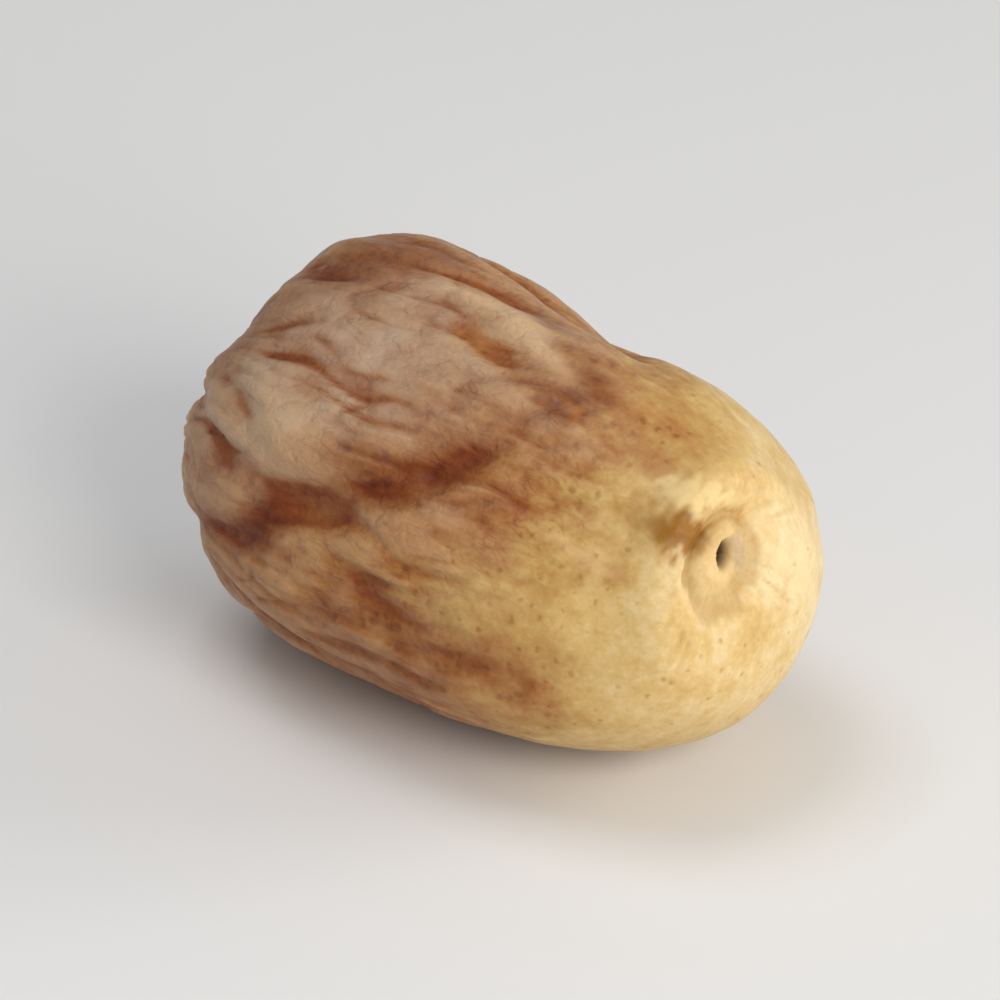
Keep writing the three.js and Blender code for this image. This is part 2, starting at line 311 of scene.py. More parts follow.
def plain_body(station, angle):
    """Points of the body without relief, before its bends, and the directions that face out:
    the slopes of the superellipse along the fruit and of the ellipse across it."""
    axial = np.cos(math.pi * station)
    girth = profile(axial)
    x = LENGTH / 2 * axial
    y = -WIDTH / 2 * girth * np.sin(angle)
    z = HEIGHT / 2 * girth * np.cos(angle)
    bluntness = np.where(axial > 0, STEM_BLUNTNESS, APEX_BLUNTNESS)
    slope = np.sign(axial) * bluntness * np.abs(axial) ** (bluntness - 1) / (LENGTH / 2)
    outward = np.stack([slope, 8 * y / WIDTH**2, 8 * z / HEIGHT**2], axis=-1)
    outward /= np.linalg.norm(outward, axis=-1, keepdims=True)
    return np.stack([x, y, z], axis=-1), outward


def bend_body(points, station):
    """Leans the stem face back, moves the scar off the axis, bows the fruit and lays it down."""
    axial = np.cos(math.pi * station)
    stem = np.where(axial > 0, axial**2, 0)
    apex = np.where(axial > 0, 0, axial**2)
    near_scar = np.where(axial > 0, axial**8, 0)
    x, y, z = points[..., 0], points[..., 1], points[..., 2]
    y = y + SIDE_BOW * axial**2 + SCAR_SHIFT.y * near_scar
    z = z + END_RISE.stem * stem + SCAR_SHIFT.z * near_scar + END_RISE.apex * apex
    x = x - STEM_LEAN * z * stem
    floor = REST_FLAT_DEPTH - HEIGHT / 2
    return np.stack([x, y, np.maximum(0, z - floor)], axis=-1)


def main_relief(station, angle, points):
    """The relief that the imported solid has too, in mm along the outward direction."""
    y, z = points[..., 1], points[..., 2]
    from_axis = np.hypot(y, z)
    ends = np.where(station < 0.5, scar_relief(y, z), tip_relief(from_axis, angle))
    calm = mix(END_CALM.left, 1, smooth_step(END_CALM.inner, END_CALM.outer, from_axis))
    return ends + calm * body_relief(station, angle, from_axis)


# Fine skin: what drying has done between the folds

NOISE_TABLE = 256


def gradient_noise(points, seed):
    """Smooth noise in space: each corner of a unit lattice has a fixed random direction, and the
    products of those with the way from the corner are blended by a fifth-degree curve."""
    draw = np.random.default_rng(seed)
    shuffle = draw.permutation(NOISE_TABLE)
    directions = draw.normal(size=(NOISE_TABLE, 3))
    directions /= np.linalg.norm(directions, axis=1, keepdims=True)
    cell = np.floor(points).astype(int)
    inside = points - cell
    blend = inside**3 * (inside * (inside * 6 - 15) + 10)
    total = np.zeros(points.shape[:-1])
    for corner in np.ndindex(2, 2, 2):
        at = (cell + corner) % NOISE_TABLE
        index = shuffle[at[..., 0]]
        index = shuffle[(index + at[..., 1]) % NOISE_TABLE]
        index = shuffle[(index + at[..., 2]) % NOISE_TABLE]
        value = np.sum(directions[index] * (inside - corner), axis=-1)
        weight = np.prod(np.where(corner, blend, 1 - blend), axis=-1)
        total += value * weight
    return total


def octaves(points, seed, count=2, fading=0.5):
    """Noise with finer and weaker layers added, each twice as fine as the last."""
    total = 0
    for layer in range(count):
        total = total + fading**layer * gradient_noise(points * 2**layer, seed + layer)
    return total


# Buckled wrinkles: the grid that they grow on, and how
BUCKLE = Sizes(
    stations=400, sectors=560, steps=150, time_step=0.6, first=0.1, drive=0.5, lengthwise=0.3
)


def buckled_wrinkles(spacing, seed):
    """Wrinkles as a stiff skin on a shrinking core buckles: a field grows at one spacing from
    seeded noise until its own cube stops it. Waves along the fruit are held back, so the crests
    run mostly lengthwise and fork. Returns the field on a grid of stations by angles."""
    draw = np.random.default_rng(seed)
    field = BUCKLE.first * draw.normal(size=(BUCKLE.stations, BUCKLE.sectors))
    wave = 2 * math.pi / spacing
    along = 2 * math.pi * np.fft.fftfreq(BUCKLE.stations, SKIN_LENGTH / BUCKLE.stations)
    around_step = 2 * math.pi * MEAN_RADIUS / BUCKLE.sectors
    around = 2 * math.pi * np.fft.rfftfreq(BUCKLE.sectors, around_step)
    along, around = np.meshgrid(along / wave, around / wave, indexing="ij")
    growth = BUCKLE.drive - (1 - along**2 - around**2) ** 2 - BUCKLE.lengthwise * along**2
    for _ in range(BUCKLE.steps):
        grown = np.fft.rfft2(field - BUCKLE.time_step * field**3)
        field = np.fft.irfft2(grown / (1 - BUCKLE.time_step * growth), s=field.shape)
    return field / np.abs(field).max()


def cubic_weights(part):
    """Shares of four neighbours in a row in the value at part of the way between the middle two."""
    return (
        -0.5 * part + part**2 - 0.5 * part**3,
        1 - 2.5 * part**2 + 1.5 * part**3,
        0.5 * part + 2 * part**2 - 1.5 * part**3,
        -0.5 * part**2 + 0.5 * part**3,
    )


def sample_round(field, station, angle):
    """The field's value between its grid points, by cubic blends both ways, closed both ways."""
    row = station * field.shape[0]
    column = (angle / (2 * math.pi)) % 1 * field.shape[1]
    first_row = np.floor(row).astype(int)
    first_column = np.floor(column).astype(int)
    total = 0
    for row_step, row_weight in enumerate(cubic_weights(row - first_row)):
        rows = (first_row + row_step - 1) % field.shape[0]
        for column_step, column_weight in enumerate(cubic_weights(column - first_column)):
            columns = (first_column + column_step - 1) % field.shape[1]
            total = total + row_weight * column_weight * field[rows, columns]
    return total


# Pleats, crepe and fine crepe of the dried skin
PLEATS = Sizes(spacing=2.1, seed=5, height=0.11, least=0.2, patch=6.5, patch_seed=41)
CREPE = Sizes(spacing=1.15, seed=6, height=0.06, least=0.15, patch=5.0, patch_seed=45)
FINE_CREPE = Sizes(spacing=0.72, seed=7, height=0.026, least=0.15, patch=3.4, patch_seed=49)
PLEAT_SHAPE = Sizes(crest=0.6, valley=2, sharpness=2.5)
PATCH_EDGE = (-0.2, 0.3)  # of a noise, where a patch begins and where it is full
CREASES = Sizes(
    spacing=2.9, seed=51, width=0.1, depth=0.11, least=0.08, patch=5.0, patch_seed=61
)
GRAIN = Sizes(spacing=1.1, seed=71, reach=0.5, firm=0.02, dried=0.06)
DIMPLES = Sizes(spacing=3.2, seed=81, height=0.1)
# The slow noise that bends the wrinkles: a seed for each direction, and how far it carries
# them, in stations, in radians and, for creases, in mm
WARP = Sizes(spacing=4.5, seeds=(11, 21, 31), stations=0.03, angle=0.2, reach=1.2)
LENGTHWISE = np.array([0.45, 1, 1])  # stretches a noise along the fruit
# Fine relief dies away between these distances from the long axis
FINE_CALM = Sizes(inner=2.2, outer=6.5)
TIP_GRAIN = Sizes(spacing=0.7, seed=91, height=0.07)


def patches(points, spacing, seed):
    """0 in some patches of the skin and 1 in others, with soft edges."""
    return smooth_step(*PATCH_EDGE, octaves(points / spacing, seed))


def pleated(field):
    """The field with broad round crests and narrow valleys, as pleats have: the crest's height
    less a power of how far the field is below its top."""
    below_top = (1 - np.clip(field, -1, 1)) / 2
    return PLEAT_SHAPE.crest - PLEAT_SHAPE.valley * below_top**PLEAT_SHAPE.sharpness


def dryness_of(station, angle):
    """0 on the firm stem end and 1 on the ripe skin."""
    return smooth_step(FIRM_SHARE, 1, shrivel(station, angle))


def dried_relief(station, angle, points):
    """Wrinkles, creases and grain of the dried skin, in mm. Three fields of buckled wrinkles lie
    over each other, each strong in some patches and faint in others, bent by a slow noise.
    Creases follow the lines on which another noise is 0."""
    dryness = dryness_of(station, angle)
    lengthwise = points * LENGTHWISE
    warp = np.stack([octaves(lengthwise / WARP.spacing, seed) for seed in WARP.seeds], axis=-1)
    warped_station = station + WARP.stations * warp[..., 0]
    warped_angle = angle + WARP.angle * warp[..., 1]

    height = 0
    for kind in (PLEATS, CREPE, FINE_CREPE):
        field = buckled_wrinkles(kind.spacing, kind.seed)
        folded = pleated(sample_round(field, warped_station, warped_angle))
        strength = dryness * mix(kind.least, 1, patches(points, kind.patch, kind.patch_seed))
        height = height + kind.height * folded * strength

    crossing = octaves((lengthwise + WARP.reach * warp) / CREASES.spacing, CREASES.seed)
    strength = patches(points, CREASES.patch, CREASES.patch_seed)
    strength = strength * mix(CREASES.least, 1, dryness)
    height = height - CREASES.depth * bell(crossing, CREASES.width) * strength

    grain = octaves((lengthwise + GRAIN.reach * warp) / GRAIN.spacing, GRAIN.seed)
    dimples = octaves(points / DIMPLES.spacing, DIMPLES.seed)
    height = height + mix(GRAIN.firm, GRAIN.dried, dryness) * grain
    return height + DIMPLES.height * dimples * (1 - dryness)


# Finish of the stem scar and of the apex
TORN_EDGE = Sizes(radius=3.2, wander=0.7, seed=101, depth=0.12, blur=0.14)
RAGGED_LOOP = 1.6  # radius of the loop that the noise round the scar is read on
CRATER = Sizes(
    lip=0.1, lip_seed=121, lip_radius=1.3, lip_wander=0.3, wander_seed=111, lip_width=0.35,
    depth=0.1, radius=0.9,
)
RIM_PLEATS = Sizes(
    count=23, bend=5, bend_seed=151, height=0.08, radius=4.5, width=1.2, patch=2.5, patch_seed=161
)
# Fibres are a noise in space and one that is drawn out into spokes: how fast the second
# changes outwards and round, and its share
FIBRE = Sizes(
    spacing=0.5, seed=131, height=0.1, radius=3.0, spokes=0.5, spoke_seed=141, outwards=0.5, round=3
)


def ragged(turn, seed, count=3):
    """Noise once round the scar, the same where the round closes."""
    ring = np.stack([np.cos(turn), np.sin(turn), np.zeros_like(turn)], axis=-1)
    return octaves(RAGGED_LOOP * ring, seed, count)


def torn_edge(turn):
    """Distance from the scar's centre to the edge of the skin, torn where the cap came off."""
    return TORN_EDGE.radius + TORN_EDGE.wander * ragged(turn, TORN_EDGE.seed)


def scar_finish(y, z, points):
    """Fine form of the scar, in mm: a ragged step down where the stalk's cap tore off, a small
    crater with a raised lip round the hole, torn fibres, and short pleats in the skin round it."""
    from_centre, turn = from_scar(y, z)
    within = torn_edge(turn) - from_centre
    step = TORN_EDGE.depth * smooth_step(-TORN_EDGE.blur, TORN_EDGE.blur, within)
    wander = CRATER.lip_wander * ragged(turn, CRATER.wander_seed)
    lip = bell(from_centre - CRATER.lip_radius * (1 + wander), CRATER.lip_width)
    lip = CRATER.lip * lip * (1 + ragged(turn, CRATER.lip_seed))
    crater = CRATER.depth * bell(from_centre, CRATER.radius)
    spokes = np.stack([from_centre * FIBRE.outwards, turn * FIBRE.round, turn * 0], axis=-1)
    torn = octaves(points / FIBRE.spacing, FIBRE.seed, count=3)
    torn = torn + FIBRE.spokes * octaves(spokes / FIBRE.spacing, FIBRE.spoke_seed)
    fibres = FIBRE.height * torn * plateau(from_centre, FIBRE.radius)
    bend = RIM_PLEATS.bend * ragged(turn, RIM_PLEATS.bend_seed)
    pleats = np.sin(RIM_PLEATS.count * turn + bend)
    pleats = RIM_PLEATS.height * pleats * bell(from_centre - RIM_PLEATS.radius, RIM_PLEATS.width)
    pleats = pleats * patches(points, RIM_PLEATS.patch, RIM_PLEATS.patch_seed)
    return lip + fibres + pleats - step - crater


def fine_relief(station, angle, points):
    """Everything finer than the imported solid's relief, in mm along the outward direction."""
    y, z = points[..., 1], points[..., 2]
    body_share = smooth_step(FINE_CALM.inner, FINE_CALM.outer, np.hypot(y, z))
    dried = dried_relief(station, angle, points) * rest_calm(station, angle) * body_share
    tip = octaves(points / TIP_GRAIN.spacing, TIP_GRAIN.seed, count=3)
    tip = TIP_GRAIN.height * tip * (1 - body_share)
    return dried + np.where(station < 0.5, scar_finish(y, z, points), tip)


def skin_surface():
    """Grid of the whole skin, with a pole at each end. Returns the points in mm and, for each
    point, its two parameters, its place on the plain body and its height above that."""
    rings = (np.arange(1, RINGS) / RINGS) ** STEM_RING_CROWDING
    sectors = 2 * math.pi * np.arange(SECTORS) / SECTORS
    station, angle = np.meshgrid(rings, sectors, indexing="ij")
    station = np.concatenate([[0.0], station.ravel(), [1.0]])
    angle = np.concatenate([[0.0], angle.ravel(), [0.0]])

    body, outward = plain_body(station, angle)
    relief = main_relief(station, angle, body)
    main = bend_body(body + outward * relief[:, None], station)
    height = relief + fine_relief(station, angle, body)
    points = bend_body(body + outward * height[:, None], station)
    middle = (main.min(axis=0) + main.max(axis=0)) / 2
    points[:, :2] -= middle[:2]
    return points, station, angle, body, height


def blur_on_grid(values, ring_reach, sector_reach):
    """The values averaged over their neighbours, by a bell in both directions of the grid."""
    grid = values[1:-1].reshape(RINGS - 1, SECTORS)
    padded = np.concatenate([grid, grid[::-1]])
    rows = np.fft.fftfreq(padded.shape[0])[:, None]
    columns = np.fft.rfftfreq(SECTORS)[None, :]
    smooth = np.exp(-2 * (math.pi * ring_reach * rows) ** 2)
    smooth = smooth * np.exp(-2 * (math.pi * sector_reach * columns) ** 2)
    blurred = np.fft.irfft2(np.fft.rfft2(padded) * smooth, s=padded.shape)[: RINGS - 1]
    return np.concatenate([values[:1], blurred.ravel(), values[-1:]])


def skin_faces():
    """Quads between neighbouring rings, and fans of triangles at the two poles."""
    sector = np.arange(SECTORS)
    following = (sector + 1) % SECTORS
    ring = 1 + SECTORS * np.arange(RINGS - 2)[:, None]
    quads = np.stack(
        [ring + sector, ring + SECTORS + sector, ring + SECTORS + following, ring + following],
        axis=-1,
    ).reshape(-1, 4)
    apex = 1 + SECTORS * (RINGS - 1)
    last = apex - SECTORS
    stem_fan = np.stack([np.zeros(SECTORS, int), 1 + sector, 1 + following], axis=-1)
    apex_fan = np.stack([np.full(SECTORS, apex), last + following, last + sector], axis=-1)
    return stem_fan.tolist() + quads.tolist() + apex_fan.tolist()


# Colour of the skin

# Tone is 0 for straw yellow and 1 for dark brown.
TONE = Sizes(firm=0.16, ripe=0.54, blur=0.13, hollow=0.06, shallow=0.08, deep=0.6)
# The border is carried along the fruit by noise: spacing, reach in stations, seed
BORDER_NOISE = ((7.0, 0.07, 201), (2.4, 0.09, 211), (0.8, 0.07, 221))
# Local tones: station, angle, reach in stations, degrees, how much darker
LOCAL_TONES = (
    (0.37, 14, 0.032, 11, 0.33),
    (0.65, 87, 0.06, 14, 0.08),
    (0.44, 52, 0.07, 14, 0.1),
    (0.67, -4, 0.07, 16, 0.2),
    (0.52, 95, 0.09, 16, -0.06),
    (0.37, 68, 0.05, 13, -0.07),
    (0.33, 98, 0.05, 14, 0.19),
    (0.222, 60, 0.018, 8, 0.16),
    (0.63, 87, 0.02, 7, 0.1),
    (0.56, 75, 0.04, 10, -0.1),
    (0.53, 56, 0.05, 8, 0.19),
    (0.495, 11, 0.04, 9, -0.17),
    (0.63, 57, 0.04, 9, -0.2),
    (0.335, 44, 0.04, 11, -0.1),
    # Painted shade on the lower near side
    (0.44, 110, 0.12, 18, 0.26),
    (0.3, 0, 0.08, 30, 0.09),
    # Painted shade on the top, beside the pale streak
    (0.45, -3, 0.045, 5, 0.22),
    # Paler far side of the stem end: painted reflection
    (0.12, -105, 0.13, 55, -0.11),
    # Painted shade low down, near the floor
    (0.32, 112, 0.06, 16, 0.07),
    (0.25, 3, 0.06, 18, 0.16),
    (0.6, 170, 0.15, 30, -0.06),
)
# Darker along the main crease: redder skin, and painted shade in it.
CREASE_TONE = Sizes(fold=0, width=1.3, darker=0.08)
# Hollows and ridges are told from their surroundings, averaged over this many rings and
# sectors. A crease or ridge begins at the least depth in mm and is full at the next.
NEAR_BLUR = (4.5, 6.5)
WIDE_BLUR = (11, 15)
CREASE_DEPTH = Sizes(least=0.01, full=0.2, on_firm=0.25)
RIDGE = Sizes(least=0.01, full=0.14, share=0.4)
# Painted highlight along these raised pleats
HIGHLIGHT_PLEATS = (4, 5)  # of the main folds
HIGHLIGHT_PLEAT_WIDTH = 0.4
# A streak of painted highlight across the pleats: its middle, how it slants, in degrees per station
HIGHLIGHT_STREAK = Sizes(station=0.445, reach=0.05, angle=5.5, slant=-87, width=0.55, share=1.2)
# Dusty bloom of the skin, with painted sheen: a patch on the upper side, partly a painted hazy
# sheen, with fainter patches of bloom all over the ripe skin. The patch slants: its middle goes
# round the fruit by this many degrees per station. Bloom and painted ridge highlights are faint
# where the tone is dark.
BLOOM_AND_SHEEN = Sizes(
    station=0.62, angle=38, slant=140, reach=0.165, degrees=32, elsewhere=0.16,
    patch=4.0, patch_seed=301, uneven_patch=2.2, uneven_seed=311, least=0.7,
    dark_from=0.58, dark_to=0.8, left_on_dark=0.15,
)
# Marks round the scar, each an oval: its middle from the hole, its turn from +Y towards +Z
GREY_PATCH = Sizes(y=1.0, z=0.0, turn=90, half_length=1.2, half_width=0.65)
# Painted shade, in ochre, on the dish's upper wall below the rim
PAINTED_SHADE_HOLLOW = Sizes(y=-3.25, z=3.8, turn=-47, half_length=3.1, half_width=1.3)
# Painted highlight on the raised rim above the dish
PAINTED_RIM_HIGHLIGHT = Sizes(y=-1.6, z=5.5, turn=-35, half_length=3.2, half_width=0.75)
OVAL_EDGE = Sizes(blur=(0.05, 0.8), wander=0.8, spacing=1.1, seed=181)
# The hole is painted dark: painted shade inside it.
HOLE_EDGE = (0.15, 0.7)  # of the hole's bell, where it turns dark
SCAR_RING = Sizes(blur=(-0.1, 0.15), reach=1.3)
SCAR_PLUG = Sizes(edge=(1.6, 2.4), wander=0.3, seed=171)
TIP_RADIUS = 1.1


def skin_tone(station, angle, points, from_axis, wide_hollow):
    """How ripe the skin looks. Noise carries the golden border along the fruit, so the two
    colours meet in tongues, islands and freckles. Hollows and the main crease are darker: riper
    skin, and painted shade. Some local tones are painted shade, and one a painted reflection."""
    place = station
    for spacing, reach, seed in BORDER_NOISE:
        place = place + reach * octaves(points * LENGTHWISE / spacing, seed)
    border = border_station(angle)
    tone = mix(TONE.firm, TONE.ripe, smooth_step(border - TONE.blur, border + TONE.blur, place))
    # Darker in wide hollows: riper skin, and painted shade.
    hollow_shade = smooth_step(TONE.shallow, TONE.deep, wide_hollow)
    tone = tone + TONE.hollow * hollow_shade * dryness_of(station, angle)
    # Darker along the main crease: redder skin, and painted shade.
    distance, share = fold_track(MAIN_FOLDS[CREASE_TONE.fold], station, angle, from_axis)
    tone = tone + CREASE_TONE.darker * bell(distance, CREASE_TONE.width) * share
    for spot_station, spot_angle, reach, width, darker in LOCAL_TONES:
        sideways = bell(wrap_angle(angle - math.radians(spot_angle)), math.radians(width))
        tone = tone + darker * bell(station - spot_station, reach) * sideways
    return tone


def bloom_and_sheen_on(station, angle, points):
    """Share of dusty bloom and painted sheen: a slanting patch of bell section, partly painted
    sheen, and noise patches of bloom elsewhere.
    """
    middle_angle = np.radians(BLOOM_AND_SHEEN.angle + BLOOM_AND_SHEEN.slant * (station - BLOOM_AND_SHEEN.station))
    top = bell(wrap_angle(angle - middle_angle), math.radians(BLOOM_AND_SHEEN.degrees))
    top = top * bell(station - BLOOM_AND_SHEEN.station, BLOOM_AND_SHEEN.reach)
    elsewhere = BLOOM_AND_SHEEN.elsewhere * patches(points, BLOOM_AND_SHEEN.patch, BLOOM_AND_SHEEN.patch_seed)
    uneven = mix(BLOOM_AND_SHEEN.least, 1, patches(points, BLOOM_AND_SHEEN.uneven_patch, BLOOM_AND_SHEEN.uneven_seed))
    return mix(elsewhere, 1, top) * uneven


def highlight_lines(station, angle, from_axis):
    """Share of painted highlight along the raised pleats and along one short slanting streak, each
    of bell section."""
    pale = 0
    for index in HIGHLIGHT_PLEATS:
        distance, share = fold_track(MAIN_FOLDS[index], station, angle, from_axis)
        pale = pale + bell(distance, HIGHLIGHT_PLEAT_WIDTH) * share
    away = station - HIGHLIGHT_STREAK.station
    middle_angle = np.radians(HIGHLIGHT_STREAK.angle + HIGHLIGHT_STREAK.slant * away)
    distance = wrap_angle(angle - middle_angle) * from_axis
    streak = bell(distance, HIGHLIGHT_STREAK.width) * bell(away, HIGHLIGHT_STREAK.reach)
    return pale + HIGHLIGHT_STREAK.share * streak


def scar_marks(points, stem):
    """Marks of the scar: the torn ring, the plug, painted shade in the hole, and the ovals, whose
    edges
    a noise carries to and fro: a grey patch, painted shade in the dish and a painted highlight on
    the rim."""
    y, z = points[:, 1], points[:, 2]
    from_centre, turn = from_scar(y, z)
    within = torn_edge(turn) - from_centre
    plug_radius = from_centre * (1 + SCAR_PLUG.wander * ragged(turn, SCAR_PLUG.seed))
    marks = {
        "scar_ring": smooth_step(*SCAR_RING.blur, within) * bell(within, SCAR_RING.reach) * stem,
        "scar_plug": (1 - smooth_step(*SCAR_PLUG.edge, plug_radius)) * stem,
        "scar_hole_shade": smooth_step(*HOLE_EDGE, slanting_oval(y, z, HOLE)) * stem,
    }
    wander = OVAL_EDGE.wander * octaves(points / OVAL_EDGE.spacing, OVAL_EDGE.seed)
    ovals = (("scar_grey", GREY_PATCH), ("scar_painted_shade", PAINTED_SHADE_HOLLOW), ("scar_painted_highlight", PAINTED_RIM_HIGHLIGHT))
    for name, oval in ovals:
        share = slanting_oval(y - oval.y + wander, z - oval.z + wander, oval)
        marks[name] = smooth_step(*OVAL_EDGE.blur, share) * stem
    return marks


def skin_marks(station, angle, points, height):
    """What the material reads at each point of the skin, each from 0 to 1."""
    from_axis = np.hypot(points[:, 1], points[:, 2])
    dryness = dryness_of(station, angle)
    hollow = blur_on_grid(height, *NEAR_BLUR) - height
    wide_hollow = blur_on_grid(height, *WIDE_BLUR) - height
    # The crease mark is painted shade: darker where the skin lies below its near surroundings.
    crease_shade = smooth_step(CREASE_DEPTH.least, CREASE_DEPTH.full, hollow)
    crease_shade = crease_shade * mix(CREASE_DEPTH.on_firm, 1, dryness)
    # Ridges are paler: painted highlight.
    ridge = RIDGE.share * smooth_step(RIDGE.least, RIDGE.full, -hollow)
    tone = skin_tone(station, angle, points, from_axis, wide_hollow)
    left = mix(1, BLOOM_AND_SHEEN.left_on_dark, smooth_step(BLOOM_AND_SHEEN.dark_from, BLOOM_AND_SHEEN.dark_to, tone))
    stem = station < 0.5
    return {
        "tone": tone,
        "dryness": dryness,
        "crease_shade": crease_shade,
        "ridge_highlight": ridge * dryness * left + highlight_lines(station, angle, from_axis),
        "bloom_and_sheen": bloom_and_sheen_on(station, angle, points) * dryness * (1 - crease_shade) * left,
        **scar_marks(points, stem),
        "tip": bell(from_axis, TIP_RADIUS) * ~stem,
    }


def linear(hex_colour):
    """An sRGB hex colour as linear red, green, blue and alpha."""
    colour = []
    for first in (1, 3, 5):
        share = int(hex_colour[first : first + 2], 16) / 255
        colour.append(share / 12.92 if share <= 0.04045 else ((share + 0.055) / 1.055) ** 2.4)
    return (*colour, 1.0)


def node(tree, kind, settings=None, **inputs):
    """Adds a node. Settings are its own values. An input is named with underscores for spaces and
    takes a value, a socket or a node, whose first output in use is then linked. A list serves
    the inputs that share a name, in turn."""
    made = tree.nodes.new(kind)
    for name, value in (settings or {}).items():
        setattr(made, name, value)
    for name, values in inputs.items():
        sockets = [s for s in made.inputs if s.enabled and s.name == name.replace("_", " ")]
        for socket, value in zip(sockets, values if isinstance(values, list) else [values]):
            if isinstance(value, bpy.types.Node):
                value = next(s for s in value.outputs if s.enabled)
            if isinstance(value, bpy.types.NodeSocket):
                tree.links.new(value, socket)
            else:
                socket.default_value = value
    return made


def cells_per_metre(size):
    """The scale of a pattern whose cells are that many millimetres wide."""
    return 1 / (size * MM)


# Tones of the skin, from straw through gold and amber to dark red-brown
SKIN_TONES = (
    (0.0, "#E0CA9A"),
    (0.18, "#D0AF70"),
    (0.34, "#BB9456"),
    (0.5, "#AA753F"),
    (0.66, "#925722"),
    (0.82, "#7B4014"),
    (1.0, "#582C0F"),
)
# Patterns are drawn out along the fruit by these scales
LONG = (0.2, 1, 1)
LONGISH = (0.45, 1, 1)
# Mottling of the tone: size in mm, detail, roughness, reach
MOTTLING = (
    (6.5, 3, 0.5, 0.34),
    (1.9, 5, 0.6, 0.34),
    (0.45, 3, 0.6, 0.26),
)
STREAKS = Sizes(size=0.8, detail=4, roughness=0.55, reach=0.16)
# Freckles of up to a few tenths of a millimetre
FRECKLES = Sizes(
    spacing=0.8, uneven_size=0.7, detail=2, roughness=0.6, uneven=1.2, more_on_ripe=0.4,
    middle=0.42, edge=0.74, strength=0.42, colour="#B4793C",
)
# Net of fine creases: how far it is bent in mm and by a noise of which size, the share of a cell
# that a crease takes, the cell size in mm and depth of each layer, and where mottling lets it show
NET = Sizes(
    bend=0.9, bend_size=1.6, bend_detail=2, crease_width=0.16,
    layers=((1.3, 0.7), (0.55, 0.4)), patches=(0.36, 0.6), least=0.25,
)
# Layers over the tone: mark, strength, blend, colour. Creases and the net of fine creases are
# darker
# and redder: painted shade, with some redder skin. Ridges, pleats and one streak are paler: painted
# highlight, with paler skin where it stands off the flesh.
LAYERS = (
    # Painted shade in the creases and in the net of fine creases
    ("crease_shade", 0.85, "MULTIPLY", "#DDB294"),
    ("net", 0.5, "MULTIPLY", "#DDB294"),
    # Painted highlight on ridges, pleats and one streak
    ("ridge_highlight", 0.7, "MIX", "#DDB88A"),
    # Partly dusty bloom, partly painted sheen on the upper side
    ("bloom_and_sheen", 0.76, "MIX", "#C6AF98"),
    ("scar_ring", 0.55, "MIX", "#B3925A"),
    ("scar_plug", 0.5, "MIX", "#DDBD84"),
    # Painted shade in the dish below the rim
    ("scar_painted_shade", 0.95, "MIX", "#905E10"),
    # Painted highlight on the rim
    ("scar_painted_highlight", 0.55, "MIX", "#EBD39A"),
    ("scar_grey", 0.6, "MIX", "#A58E70"),
    # Painted shade in the hole
    ("scar_hole_shade", 0.95, "MIX", "#38200F"),
    ("tip", 0.9, "MIX", "#4A2A18"),
)
# Roughness: the range that the mottling swings it through, and what each mark adds
ROUGHNESS = Sizes(mottling=(0.3, 0.7), least=0.42, most=0.6)
ROUGHER = (("dryness", -0.06), ("crease_shade", 0.12), ("bloom_and_sheen", 0.14))
# Bumps: sizes and depths in mm
GROOVES = Sizes(size=0.6, detail=3, roughness=0.5, depth=0.04, strength=0.5)
NET_BUMP = Sizes(depth=0.07, strength=0.8)
PORES = Sizes(size=0.3, detail=3, roughness=0.6, depth=0.06, strength=0.6)


def mottled_tone(tree, place, lengthwise, tone):
    """The tone swung about its own value by noises of several sizes and by lengthwise streaks.
    Returns it, and the noise of middle size."""
    layers = []
    for size, detail, roughness, reach in MOTTLING:
        layers.append(node(
            tree, "ShaderNodeTexNoise",
            Vector=place, Scale=cells_per_metre(size), Detail=detail, Roughness=roughness,
        ))
        tone = node(
            tree, "ShaderNodeMath", {"operation": "MULTIPLY_ADD"}, Value=[layers[-1], reach, tone]
        )
    streaks = node(
        tree, "ShaderNodeTexNoise", Vector=lengthwise, Scale=cells_per_metre(STREAKS.size),
        Detail=STREAKS.detail, Roughness=STREAKS.roughness,
    )
    tone = node(
        tree, "ShaderNodeMath", {"operation": "MULTIPLY_ADD"}, Value=[streaks, STREAKS.reach, tone]
    )
    swing = sum(reach for _, _, _, reach in MOTTLING) + STREAKS.reach
    tone = node(
        tree, "ShaderNodeMath", {"operation": "SUBTRACT", "use_clamp": True},
        Value=[tone, swing / 2],
    )
    return tone, layers[1]


def colour_of_tone(tree, tone):
    """Looks the tone up among the skin's tones."""
    colour = node(tree, "ShaderNodeValToRGB", Fac=tone)
    stops = colour.color_ramp.elements
    while len(stops) < len(SKIN_TONES):
        stops.new(0.5)  # each gets its own place below
    for stop, (position, hex_colour) in zip(stops, SKIN_TONES):
        stop.position = position
        stop.color = linear(hex_colour)
    return colour


